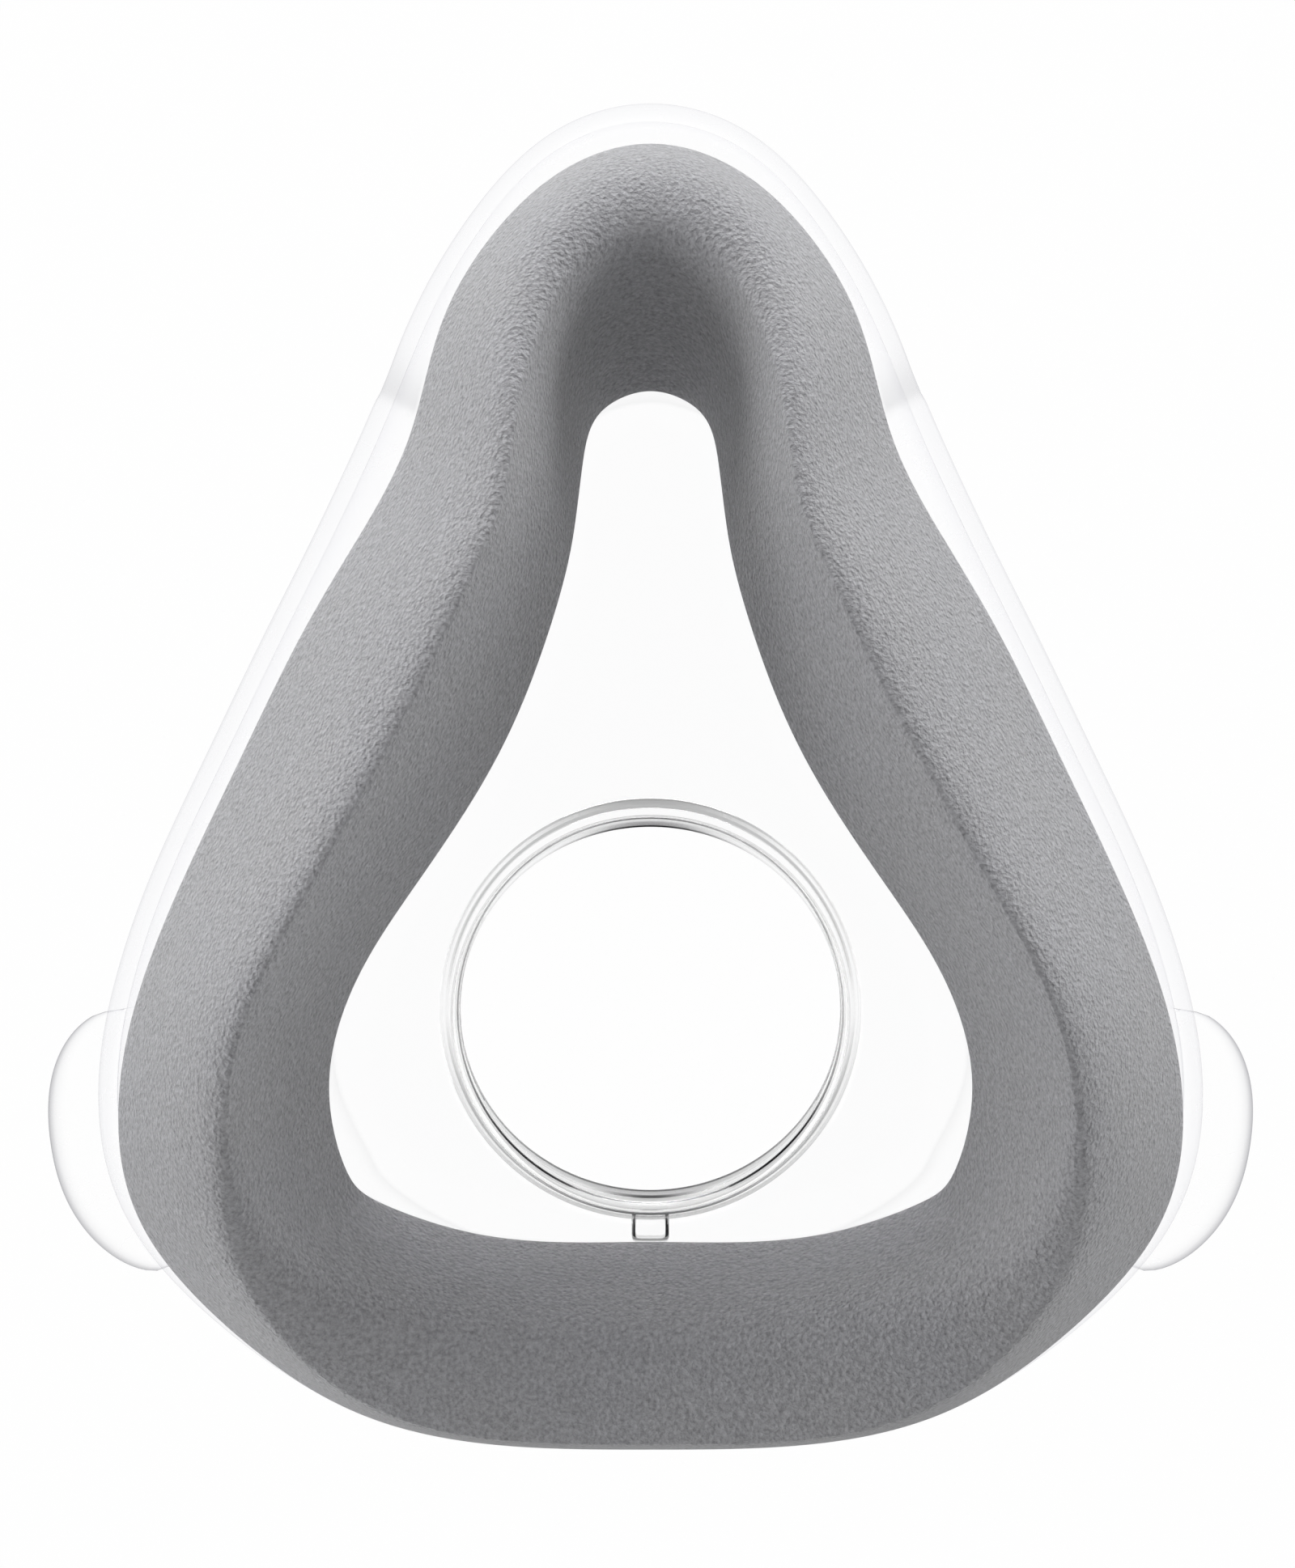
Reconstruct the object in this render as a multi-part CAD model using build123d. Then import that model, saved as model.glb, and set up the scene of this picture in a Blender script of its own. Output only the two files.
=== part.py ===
from build123d import *
import math
import os

# Cushion module of a full face CPAP mask, in millimetres.
# It lies on the front rim of its port collar, with the seal that meets the face
# turned up. The origin is the middle of the port in the plane of that rim.
# +Y runs from the mouth to the bridge of the nose, and X is left to right.

# Port collar of the clear shell
BORE_RADIUS = 18.5
COLLAR_WALL = 1.2
FLANGE_RADIUS = 20.4
FLANGE_THICKNESS = 1.6
EDGE_CHAMFER = 0.4
THROAT_FLARE = 1.8

# Key tab below the collar
KEY_WIDTH = 3.6
KEY_REACH = 22.3
KEY_HEIGHT = 7.0
KEY_CORNER = 0.5

# Clear shell: a dish with a flat floor, a flaring wall and a flat rim flange
FLOOR_FRONT = 11.0
FLOOR_REAR = 13.0
RIM_FRONT = 20.0
RIM_REAR = 22.0
RIM_INSET = 2.6
RIM_WIDTH = 4.2
RIM_OVERHANG = 2.0
FLOOR_STEP = 0.3
FLOOR_OVERLAP = 1.6
WALL_LEAN = 0.25
SHOULDER_SHARE = 0.6

# Silicone skirt: a foot on the rim flange, a bulging wall and a shelf under the foam
SKIRT_WALL = 1.5
FOOT_INSET = 3.0
FOOT_WIDTH = 3.2
FOOT_THICKNESS = 1.0
BULGE_SHARE = 0.55
SHELF_SHARE = 0.60
SEAT_DEPTH = 1.0

# Pleat across each upper side of the skirt, between this section of the ring and the next
PLEAT_SECTION = 5
PLEAT_RADIUS = 0.5

# Side wings at the foot of the skirt
WING_FRONT = 22.4
WING_REAR = 26.8
WING_EDGE = 1.9

# Foam seal: share of each flank that runs straight, and of the outer one that lies on the crest
FOAM_STRAIGHT = 0.5
FOAM_LEVEL_SHARE = 0.22
FOAM_OUTER_DROP = 5.0
FOAM_INNER_DROP = 4.0
FOAM_CORNER = 3.0

# Stations round the right half of the seal, from the bridge of the nose to under the lip.
# Outer edge x, y; inner edge x, y; place of the crest as a share of the width from the
# outer edge; heights of outer edge, crest and inner edge; reach of the skirt's bulge;
# share of the width at which the shell's wall meets its floor; share of the inner flank
# that lies on the crest; rise of the crest inwards, in millimetres per millimetre.
STATIONS = (
    (0.0, 79.2, 0.0, 57.5, 0.38, 37.0, 46.0, 32.0, 4.3, 0.97, 0.12, 0.00),
    (8.1, 76.6, 3.3, 56.5, 0.42, 37.5, 47.5, 32.5, 4.4, 0.95, 0.10, 0.00),
    (14.4, 70.4, 5.3, 54.1, 0.52, 39.0, 51.5, 35.0, 4.1, 0.90, 0.08, 0.00),
    (18.5, 62.8, 6.1, 50.1, 0.58, 41.0, 55.5, 38.5, 4.2, 0.86, 0.05, 0.00),
    (21.5, 51.9, 6.8, 44.1, 0.61, 43.0, 58.5, 42.0, 4.8, 0.85, 0.05, 0.00),
    (26.3, 42.6, 8.0, 38.4, 0.61, 44.0, 60.5, 44.5, 4.7, 0.85, 0.05, 0.00),
    (31.2, 34.0, 11.0, 29.5, 0.60, 44.5, 61.5, 46.0, 4.3, 0.85, 0.04, 0.00),
    (36.1, 24.0, 15.2, 21.1, 0.59, 44.5, 62.0, 46.5, 4.2, 0.85, 0.04, 0.00),
    (40.9, 13.9, 20.5, 13.1, 0.60, 44.5, 62.0, 46.5, 4.2, 0.86, 0.04, 0.00),
    (44.9, 3.9, 25.6, 5.0, 0.60, 44.0, 61.5, 46.0, 3.8, 0.88, 0.04, 0.00),
    (47.0, -7.6, 28.1, -4.7, 0.58, 42.5, 59.0, 44.0, 2.8, 0.91, 0.06, 0.00),
    (44.0, -19.2, 26.6, -12.2, 0.46, 40.5, 54.5, 40.0, 1.8, 1.00, 0.26, 0.05),
    (35.3, -28.5, 24.0, -14.9, 0.26, 39.0, 50.0, 36.5, 1.4, 0.97, 0.46, 0.16),
    (23.4, -35.3, 16.1, -17.8, 0.12, 38.0, 46.5, 34.5, 1.1, 0.88, 0.60, 0.20),
    (0.0, -37.7, 0.0, -18.8, 0.09, 37.0, 44.5, 33.5, 1.0, 0.80, 0.62, 0.20),
)
RING_SECTIONS = 26

# Outline of the right wing, from the skirt out to its widest and back
WING_OUTLINE = (
    (44.0, 3.0), (50.1, 1.6), (53.9, -1.2), (55.3, -5.0), (55.4, -10.4),
    (54.4, -16.2), (51.4, -21.0), (45.5, -23.6), (39.0, -22.0),
)

ROOM = 200.0


def mirrored(station):
    """The same station on the other side of the middle plane."""
    return (-station[0], station[1], -station[2]) + station[3:]


def distances(rows):
    """How far along the ring each row lies, by the middle of the foam."""
    along = [0.0]
    for before, after in zip(rows[:-1], rows[1:]):
        step_x = (after[0] + after[2] - before[0] - before[2]) / 2
        step_y = (after[1] + after[3] - before[1] - before[3]) / 2
        along.append(along[-1] + math.hypot(step_x, step_y))
    return along


def slope(rows, along, index):
    """How each value of a row changes per millimetre, on the parabola through three rows."""
    before = along[index] - along[index - 1]
    after = along[index + 1] - along[index]
    result = []
    for low, middle, high in zip(rows[index - 1], rows[index], rows[index + 1]):
        arrive = (middle - low) / before
        leave = (high - middle) / after
        result.append((arrive * after + leave * before) / (before + after))
    return result


def ring_rows():
    """Evenly spaced rows round the half ring, with one more past each end."""
    rows = (mirrored(STATIONS[1]),) + STATIONS + (mirrored(STATIONS[-2]),)
    along = distances(rows)
    spacing = (along[-2] - along[1]) / (RING_SECTIONS - 1)
    result = []
    span = 1
    for section in range(RING_SECTIONS):
        place = min(along[1] + section * spacing, along[-2])
        while along[span + 1] < place and span < len(STATIONS) - 1:
            span += 1
        gap = along[span + 1] - along[span]
        t = (place - along[span]) / gap
        start = slope(rows, along, span)
        end = slope(rows, along, span + 1)
        row = []
        for low, high, leave, arrive in zip(rows[span], rows[span + 1], start, end):
            eased = (2 * t**3 - 3 * t**2 + 1) * low + (3 * t**2 - 2 * t**3) * high
            bent = (t**3 - 2 * t**2 + t) * leave + (t**3 - t**2) * arrive
            row.append(eased + bent * gap)
        result.append(tuple(row))
    return [mirrored(result[1])] + result + [mirrored(result[-2])]


def width_of(row):
    """Width of the foam across a row."""
    return math.hypot(row[2] - row[0], row[3] - row[1])


def place(row, inward, height):
    """A point at a distance inward from the row's outer edge, at a height."""
    share = inward / width_of(row)
    x = row[0] + (row[2] - row[0]) * share
    y = row[1] + (row[3] - row[1]) * share
    return Vector(x, y, height)


def base_height(row, share):
    """Height of the foam's flat base at a share of the width from the outer edge."""
    outer = row[5] - FOAM_OUTER_DROP
    inner = row[7] - FOAM_INNER_DROP
    return outer + (inner - outer) * share


def foam_section(row):
    """Two straight flanks that bend into the crest, two rounded corners and a flat base."""
    width = width_of(row)
    crest, outer_z, crest_z, inner_z, tilt = row[4] * width, row[5], row[6], row[7], row[11]
    before = FOAM_LEVEL_SHARE * crest
    after = row[10] * (width - crest)
    corner_share = FOAM_CORNER / width
    outer_edge = place(row, 0, outer_z)
    outer_bend = place(row, crest - before, crest_z - tilt * before)
    outer_middle = outer_edge + (outer_bend - outer_edge) * FOAM_STRAIGHT
    top = place(row, crest, crest_z)
    inner_edge = place(row, width, inner_z)
    inner_bend = place(row, crest + after, crest_z + tilt * after)
    inner_middle = inner_edge + (inner_bend - inner_edge) * FOAM_STRAIGHT
    base_inner = place(row, width - FOAM_CORNER, base_height(row, 1 - corner_share))
    base_outer = place(row, FOAM_CORNER, base_height(row, corner_share))
    return Wire([
        Edge.make_bezier(outer_edge, outer_middle, outer_bend, top),
        Edge.make_bezier(top, inner_bend, inner_bend, inner_middle, inner_edge),
        Edge.make_bezier(inner_edge, place(row, width, base_height(row, 1)), base_inner),
        Edge.make_line(base_inner, base_outer),
        Edge.make_bezier(base_outer, place(row, 0, base_height(row, 0)), outer_edge),
    ])


def skirt_section(row):
    """Foot, bulging wall and shelf, with the top of the shelf a little inside the foam."""
    width = width_of(row)
    outer_z, reach = row[5], row[8]
    shelf_end = width * SHELF_SHARE
    base_outer = base_height(row, 0)
    shelf_z = base_height(row, SHELF_SHARE)
    bulge_z = RIM_REAR + BULGE_SHARE * (base_outer - RIM_REAR)
    foot_outer = place(row, FOOT_INSET, RIM_REAR)
    foot_inner = place(row, FOOT_INSET + FOOT_WIDTH, RIM_REAR)
    bulge = place(row, -reach, bulge_z)
    lip = place(row, SEAT_DEPTH, outer_z - SEAT_DEPTH)
    shelf_top = place(row, shelf_end, shelf_z + SEAT_DEPTH)
    shelf_edge = place(row, shelf_end, shelf_z - SKIRT_WALL)
    shelf_root = place(row, SKIRT_WALL, base_outer - SKIRT_WALL)
    inner_bulge = place(row, SKIRT_WALL - reach, bulge_z)
    foot_top = place(row, FOOT_INSET + FOOT_WIDTH, RIM_REAR + FOOT_THICKNESS)
    return Wire([
        Edge.make_bezier(foot_outer, place(row, -reach, RIM_REAR + SKIRT_WALL), bulge),
        Edge.make_bezier(bulge, place(row, -reach, outer_z - 2 * SEAT_DEPTH), lip),
        Edge.make_line(lip, shelf_top),
        Edge.make_line(shelf_top, shelf_edge),
        Edge.make_line(shelf_edge, shelf_root),
        Edge.make_bezier(shelf_root, place(row, SKIRT_WALL - reach, base_outer - SKIRT_WALL), inner_bulge),
        Edge.make_bezier(inner_bulge, place(row, SKIRT_WALL - reach, RIM_REAR + 2 * SKIRT_WALL), foot_top),
        Edge.make_line(foot_top, foot_inner),
        Edge.make_line(foot_inner, foot_outer),
    ])


def shell_section(row):
    """Rim flange, dished wall and the outer strip of the floor."""
    rim_inner = RIM_INSET + RIM_WIDTH
    rim_root = RIM_INSET + RIM_OVERHANG
    floor_edge = width_of(row) * row[9]
    floor_end = floor_edge + FLOOR_OVERLAP
    inner_run = floor_edge - rim_inner
    outer_run = floor_edge - rim_root
    inner_drop = RIM_REAR - SHOULDER_SHARE * (RIM_REAR - FLOOR_REAR)
    outer_drop = RIM_FRONT - SHOULDER_SHARE * (RIM_FRONT - FLOOR_FRONT)
    corners = [
        place(row, floor_edge, FLOOR_REAR),
        place(row, floor_end, FLOOR_REAR),
        place(row, floor_end, FLOOR_FRONT),
        place(row, floor_edge, FLOOR_FRONT),
    ]
    flange = [
        place(row, rim_root, RIM_FRONT),
        place(row, RIM_INSET, RIM_FRONT),
        place(row, RIM_INSET, RIM_REAR),
        place(row, rim_inner, RIM_REAR),
    ]
    return Wire([
        Edge.make_bezier(
            flange[3],
            place(row, rim_inner + WALL_LEAN * inner_run, inner_drop),
            place(row, floor_edge - SHOULDER_SHARE * inner_run, FLOOR_REAR),
            corners[0],
        ),
        Edge.make_line(corners[0], corners[1]),
        Edge.make_line(corners[1], corners[2]),
        Edge.make_line(corners[2], corners[3]),
        Edge.make_bezier(
            corners[3],
            place(row, floor_edge - SHOULDER_SHARE * outer_run, FLOOR_FRONT),
            place(row, rim_root + WALL_LEAN * outer_run, outer_drop),
            flange[0],
        ),
        Edge.make_line(flange[0], flange[1]),
        Edge.make_line(flange[1], flange[2]),
        Edge.make_line(flange[2], flange[3]),
    ])


def whole_ring(section):
    """Lofts one half past the middle plane, trims it there and adds its mirror image."""
    run = Solid.make_loft([section(row) for row in ring_rows()])
    right_side = Pos(ROOM / 2, 0, 0) * Box(ROOM, ROOM, ROOM)
    half = run & right_side
    return half + mirror(half, about=Plane.YZ)


def closed_outline(half_points, height):
    """A closed smooth outline of a right half and its mirror image."""
    right = [Vector(x, y, height) for x, y in half_points]
    left = [Vector(-x, y, height) for x, y in reversed(half_points)]
    return Wire([
        Edge.make_spline(right, tangents=[(1, 0, 0), (-1, 0, 0)]),
        Edge.make_spline(left, tangents=[(-1, 0, 0), (1, 0, 0)]),
    ])


def make_foam_seal():
    """The foam ring that meets the face."""
    return whole_ring(foam_section)


def make_wing():
    """One flat wing with a full rounded edge."""
    outline = Wire([Edge.make_spline([Vector(x, y, WING_FRONT) for x, y in WING_OUTLINE], periodic=True)])
    wing = extrude(Face(outline), WING_REAR - WING_FRONT, dir=(0, 0, 1))
    return fillet(wing.edges(), WING_EDGE)


def make_pleat():
    """A round bar laid up the skirt's outer wall, which leaves the pleat when it is cut."""
    before, after = ring_rows()[PLEAT_SECTION:PLEAT_SECTION + 2]
    row = [(low + high) / 2 for low, high in zip(before, after)]
    up_the_wall = skirt_section(row).edges()[1]
    start = Plane(origin=up_the_wall @ 0, z_dir=up_the_wall % 0)
    return sweep(start * Circle(PLEAT_RADIUS), path=up_the_wall)


def make_silicone_skirt(foam):
    """The skirt, its two wings and pleats and the seat that the foam is bonded into."""
    wing = make_wing()
    pleat = make_pleat()
    skirt = whole_ring(skirt_section)
    skirt = skirt + wing + mirror(wing, about=Plane.YZ)
    return skirt - foam - pleat - mirror(pleat, about=Plane.YZ)


def make_collar():
    """Turned section of the collar: rim flange, neck and the flare into the floor."""
    neck_radius = BORE_RADIUS + COLLAR_WALL
    floor_top = FLOOR_REAR + FLOOR_STEP
    profile = Polyline(
        (BORE_RADIUS, 0),
        (FLANGE_RADIUS - EDGE_CHAMFER, 0),
        (FLANGE_RADIUS, EDGE_CHAMFER),
        (FLANGE_RADIUS, FLANGE_THICKNESS),
        (neck_radius, FLANGE_THICKNESS),
        (neck_radius, FLOOR_FRONT - THROAT_FLARE),
        (neck_radius + THROAT_FLARE, FLOOR_FRONT),
        (neck_radius + THROAT_FLARE, floor_top),
        (BORE_RADIUS + EDGE_CHAMFER, floor_top),
        (BORE_RADIUS, floor_top - EDGE_CHAMFER),
        close=True,
    )
    face = make_face(Plane.XZ * profile)
    return revolve(face, Axis.Z)


def make_key_tab():
    """The small key below the collar that sets the turn of what plugs in."""
    depth = KEY_REACH - BORE_RADIUS - COLLAR_WALL / 2
    middle = KEY_REACH - depth / 2
    tab = Pos(0, -middle, KEY_HEIGHT / 2) * Box(KEY_WIDTH, depth, KEY_HEIGHT)
    return fillet(tab.edges().filter_by(Axis.Z).group_by(Axis.Y)[0], KEY_CORNER)


def make_floor():
    """Flat raised floor of the shell, out to the middle of the strip that the wall brings."""
    reach = FLOOR_OVERLAP / 2
    points = [place(row, width_of(row) * row[9] + reach, 0) for row in ring_rows()[1:-1]]
    outline = closed_outline([(point.X, point.Y) for point in points], FLOOR_FRONT)
    return extrude(Face(outline), FLOOR_REAR + FLOOR_STEP - FLOOR_FRONT, dir=(0, 0, 1))


def make_shell():
    """The clear shell: dish, port collar and key tab in one moulding."""
    hole = Cylinder(BORE_RADIUS + COLLAR_WALL, ROOM)
    dish = whole_ring(shell_section) + make_floor()
    return dish - hole + make_collar() + make_key_tab()


def main():
    """Makes each piece and writes it."""
    os.makedirs("parts", exist_ok=True)
    foam_seal = make_foam_seal()
    export_step(foam_seal, "parts/foam_seal.step")
    export_step(make_silicone_skirt(foam_seal), "parts/silicone_skirt.step")
    export_step(make_shell(), "parts/clear_shell.step")


main()
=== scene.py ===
import math

import bmesh
import bpy
import numpy as np
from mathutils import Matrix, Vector


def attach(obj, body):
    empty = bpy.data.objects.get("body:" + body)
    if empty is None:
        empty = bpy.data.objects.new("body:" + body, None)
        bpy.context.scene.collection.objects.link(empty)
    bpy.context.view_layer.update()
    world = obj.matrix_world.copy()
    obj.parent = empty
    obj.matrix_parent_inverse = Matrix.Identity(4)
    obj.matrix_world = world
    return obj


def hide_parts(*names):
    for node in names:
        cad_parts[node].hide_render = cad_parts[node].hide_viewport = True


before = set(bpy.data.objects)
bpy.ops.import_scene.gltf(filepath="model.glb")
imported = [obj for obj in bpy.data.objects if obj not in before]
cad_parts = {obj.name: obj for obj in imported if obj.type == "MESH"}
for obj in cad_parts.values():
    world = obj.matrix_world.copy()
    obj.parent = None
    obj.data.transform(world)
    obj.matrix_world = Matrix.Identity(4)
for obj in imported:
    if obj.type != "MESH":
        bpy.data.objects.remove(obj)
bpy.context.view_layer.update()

# Sizes below are in millimetres, and MM turns them into metres.
MM = 0.001

# Stations round the right half of the seal, from the bridge of the nose to under the lip.
# Outer edge x, y; inner edge x, y; place of the crest as a share of the width from the
# outer edge; heights of outer edge, crest and inner edge; reach of the skirt's bulge;
# share of the width at which the shell's wall meets its floor; share of the inner flank
# that lies on the crest; rise of the crest inwards, in millimetres per millimetre; share
# of the outer flank that lies on the crest.
STATIONS = np.array([
    [0.0, 79.2, 0.0, 57.5, 0.38, 37.0, 46.0, 32.0, 4.8, 0.97, 0.12, 0.00, 0.62],
    [8.1, 76.6, 3.3, 56.5, 0.42, 37.5, 47.5, 32.5, 4.7, 0.95, 0.10, 0.00, 0.58],
    [14.4, 70.4, 5.3, 54.1, 0.52, 39.0, 51.5, 35.0, 3.9, 0.90, 0.08, 0.00, 0.42],
    [18.5, 62.8, 6.1, 50.1, 0.58, 41.0, 55.5, 38.5, 3.8, 0.86, 0.05, 0.00, 0.28],
    [21.5, 51.9, 6.8, 44.1, 0.61, 43.0, 58.5, 42.0, 5.0, 0.85, 0.05, 0.00, 0.22],
    [26.3, 42.6, 8.0, 38.4, 0.61, 44.0, 60.5, 44.5, 4.6, 0.85, 0.05, 0.00, 0.22],
    [31.2, 34.0, 11.0, 29.5, 0.60, 44.5, 61.5, 46.0, 4.0, 0.85, 0.04, 0.00, 0.22],
    [36.1, 24.0, 15.2, 21.1, 0.59, 44.5, 62.0, 46.5, 4.0, 0.85, 0.04, 0.00, 0.22],
    [40.9, 13.9, 20.5, 13.1, 0.60, 44.5, 62.0, 46.5, 4.0, 0.86, 0.04, 0.00, 0.22],
    [44.9, 3.9, 25.6, 5.0, 0.60, 44.0, 61.5, 46.0, 3.5, 0.88, 0.04, 0.00, 0.22],
    [47.0, -7.6, 28.3, -4.8, 0.58, 42.5, 59.0, 44.0, 2.8, 0.91, 0.06, 0.00, 0.22],
    [44.0, -19.2, 27.0, -12.6, 0.46, 40.5, 54.5, 40.0, 1.8, 1.00, 0.26, 0.05, 0.22],
    [35.3, -28.5, 24.6, -15.5, 0.26, 39.0, 50.0, 36.5, 1.0, 0.97, 0.46, 0.16, 0.22],
    [23.4, -35.3, 16.5, -18.5, 0.12, 38.0, 46.5, 34.5, 0.5, 0.88, 0.60, 0.20, 0.22],
    [0.0, -37.7, 0.0, -19.5, 0.09, 37.0, 44.5, 33.5, 0.4, 0.80, 0.62, 0.20, 0.22],
])
OUTER, INNER = slice(0, 2), slice(2, 4)
CREST_SHARE, OUTER_Z, CREST_Z, INNER_Z = range(4, 8)
REACH, FLOOR_SHARE, LEVEL_SHARE, TILT, OUTER_LEVEL = range(8, 13)

# Foam
FOAM_STRAIGHT = 0.5
FOAM_OUTER_DROP = 5.0
FOAM_INNER_DROP = 4.0
FOAM_CORNER = 3.0

# Silicone skirt
SKIRT_WALL = 1.5
FOOT_INSET = 3.0
FOOT_WIDTH = 3.2
FOOT_THICKNESS = 1.0
BULGE_SHARE = 0.55
SHELF_SHARE = 0.60
LIP_DROP = 1.0
BOND_GAP = 0.08

# Pleat across each upper side of the skirt: its place as a share of the whole ring, its
# depth, how far it eases out towards the bridge of the nose and towards the mouth, and
# its soft painted shade
PLEAT_PLACE = 0.09
PLEAT_DEPTH = 0.8
PLEAT_EASE = (2.2, 0.6)
PLEAT_SHADE = 0.4

# Side wings, as a part of the skirt's wall: their shape, how fast the wall turns into
# them, the fillet behind them, and the painted shade of their edge with its first column
WING_FRONT = 22.6
WING_REAR = 26.8
WING_REACH = 5.8
WING_START = 1.5
WING_END = -21.75
WING_BLUNTNESS = 3.1
WING_FULLNESS = 2.2
WING_TIP_ROUND = 1.9
WING_GROWTH = 3
WING_FILLET = 1.0
WING_FILLET_RUN, WING_FILLET_RISE = 0.2, 0.4
WING_EDGE_FIRST = 12
WING_EDGE_SHADES = (0.04, 0.12, 0.25, 0.5, 0.65, 0.75, 0.65, 0.5, 0.25, 0.12, 0.04)

# Clear shell, with its port and key tab, and the places of the lines darkened with painted shade
FLOOR_FRONT = 11.0
FLOOR_REAR = 13.0
RIM_FRONT = 20.0
RIM_REAR = 22.0
RIM_INSET = 2.6
RIM_WIDTH = 4.2
RIM_OVERHANG = 2.0
WALL_LEAN = 0.25
SHOULDER_SHARE = 0.6
BORE_RADIUS = 18.5
STEP_RADIUS = 18.7
STEP_HEIGHT = 5.0
STEP_LINE = 0.1
LIP_RADIUS = 17.7
LIP_ROUND = 0.2
LIP_HEIGHT = 0.6
SEAT_SHARE = 0.65
SEAT_LINE_START = 1.001
COLLAR_RADIUS = 19.55
ROOT_LINE_INNER = 19.69
ROOT_LINE_OUTER = 19.98
LINE_FADE = 0.02
FLANGE_FACE_INNER = 19.97
FLANGE_RADIUS = 20.5
FLANGE_THICKNESS = 1.6
THROAT_FLARE = 1.8
EDGE_ROUND = 0.25
EDGE_LINE_END = 1.1
KEY_WIDTH = 3.6
KEY_ROOT = 19.1
KEY_REACH = 22.05
KEY_HEIGHT = 7.0
KEY_SQUARENESS = 8.0
KEY_RIM_SHARE, KEY_RIM_DEPTH = 0.81, 0.4
KEY_RIM_SHADE = 0.96
SOFT_EDGE = 0.8
FLOOR_EDGE_SHADE = 0.07

# Rows round the ring in each mesh, and round the key tab
FOAM_ROWS = 560
SKIRT_ROWS = 960
SHELL_ROWS = 1500
KEY_ROWS = 96

# Floor: how white it shows, and how far out that reaches for bounced rays, in metres
FLOOR_WHITE_SHARE = 0.985
LIGHT_TABLE_INNER = 0.10
LIGHT_TABLE_OUTER = 0.16

# Studio light: each lamp's place in metres and its power in watts. The world lights the
# foam evenly, and glossy and clear surfaces see it dim.
LAMPS = {
    "left_lamp": ((-0.52, 0.03, 0.10), 0.58),
    "left_upper_lamp": ((-0.49, 0.03, 0.22), 0.94),
    "right_lamp": ((0.47, 0.25, 0.10), 0.8),
    "right_upper_lamp": ((0.49, 0.03, 0.22), 0.37),
    "top_lamp": ((0, 0.53, 0.05), 2.1),
    "bottom_lamp": ((0, -0.48, 0.10), 0.1),
}
LAMP_LENGTH, LAMP_WIDTH = 0.5, 0.12
LAMP_TARGET = (0, 0.02, 0.045)
WORLD_STRENGTH = 0.43
WORLD_STRENGTH_IN_GLOSS = 0.05

# The photograph: size, scale at the foam's outer edge, and the camera over the mask
PHOTO_HEIGHT = 1938
PHOTO_SCALE = 0.071
CAMERA_X = -0.28
CAMERA_Y = 21.88
CAMERA_Z = 445.0
SHARP_Z = 45.0


def full_ring():
    """All stations: the right half going down, then its mirror image coming back up."""
    left = STATIONS[-2:0:-1].copy()
    left[:, [0, 2]] *= -1
    return np.vstack([STATIONS, left])


def closed_spline(values, knots, at):
    """A closed cubic spline with an even bend through the values.

    The second derivatives m solve, at each knot, before * m[k-1] + 2 (before + after) *
    m[k] + after * m[k+1] = 6 (slope after - slope before), with the ends joined.
    """
    count = len(values)
    after = np.diff(knots)
    before = np.roll(after, 1)
    slopes = (np.roll(values, -1, axis=0) - values) / after[:, None]
    matrix = np.diag(2 * (before + after))
    index = np.arange(count)
    matrix[index, (index + 1) % count] += after
    matrix[index, (index - 1) % count] += before
    bends = np.linalg.solve(matrix, 6 * (slopes - np.roll(slopes, 1, axis=0)))
    span = np.clip(np.searchsorted(knots, at, side="right") - 1, 0, count - 1)
    step = after[span][:, None]
    t = (at - knots[span])[:, None] / step
    low, high = values[span], values[(span + 1) % count]
    low_bend, high_bend = bends[span], bends[(span + 1) % count]
    lift = (1 - t) ** 3 - (1 - t), t ** 3 - t
    return (1 - t) * low + t * high + step ** 2 / 6 * (lift[0] * low_bend + lift[1] * high_bend)


def ring_rows(count):
    """Evenly spaced rows round the whole ring, starting at the bridge of the nose."""
    values = full_ring()
    middle = (values[:, OUTER] + values[:, INNER]) / 2
    gaps = np.linalg.norm(np.roll(middle, -1, axis=0) - middle, axis=1)
    knots = np.concatenate([[0.0], np.cumsum(gaps)])
    return closed_spline(values, knots, np.arange(count) * knots[-1] / count)


def width_of(rows):
    """Width of the foam across each row."""
    return np.linalg.norm(rows[:, INNER] - rows[:, OUTER], axis=1)


def place(rows, inward, height):
    """Points at a distance inward from each row's outer edge, at a height."""
    across = (rows[:, INNER] - rows[:, OUTER]) / width_of(rows)[:, None]
    inward = np.broadcast_to(inward, len(rows))
    height = np.broadcast_to(height, len(rows))
    return np.column_stack([rows[:, OUTER] + across * inward[:, None], height])


def line(start, end, count):
    """Straight run from start to end: start (1 - t) + end t, without its last point."""
    t = (np.arange(count) / count)[None, :, None]
    return start[:, None] * (1 - t) + end[:, None] * t


def curve(points, count):
    """Bezier curve through two ends with one or two handles, without its last point."""
    t = (np.arange(count) / count)[None, :, None]
    degree = len(points) - 1
    total = 0
    for power, point in enumerate(points):
        share = math.comb(degree, power) * t ** power * (1 - t) ** (degree - power)
        total = total + share * point[:, None]
    return total


def base_height(rows, share):
    """Height of the foam's flat base at a share of the width from the outer edge."""
    outer = rows[:, OUTER_Z] - FOAM_OUTER_DROP
    inner = rows[:, INNER_Z] - FOAM_INNER_DROP
    return outer + (inner - outer) * share


def join_runs(runs):
    """Runs of points that follow each other, as one grid, and the shade of each point.

    A run is a shade and its points. The shade is one value, one for each row as a column,
    or one for each point.
    """
    grid = np.concatenate([points for _, points in runs], axis=1)
    shade = np.concatenate([
        np.broadcast_to(value, points.shape[:2]) for value, points in runs
    ], axis=1)
    return grid, shade


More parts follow.
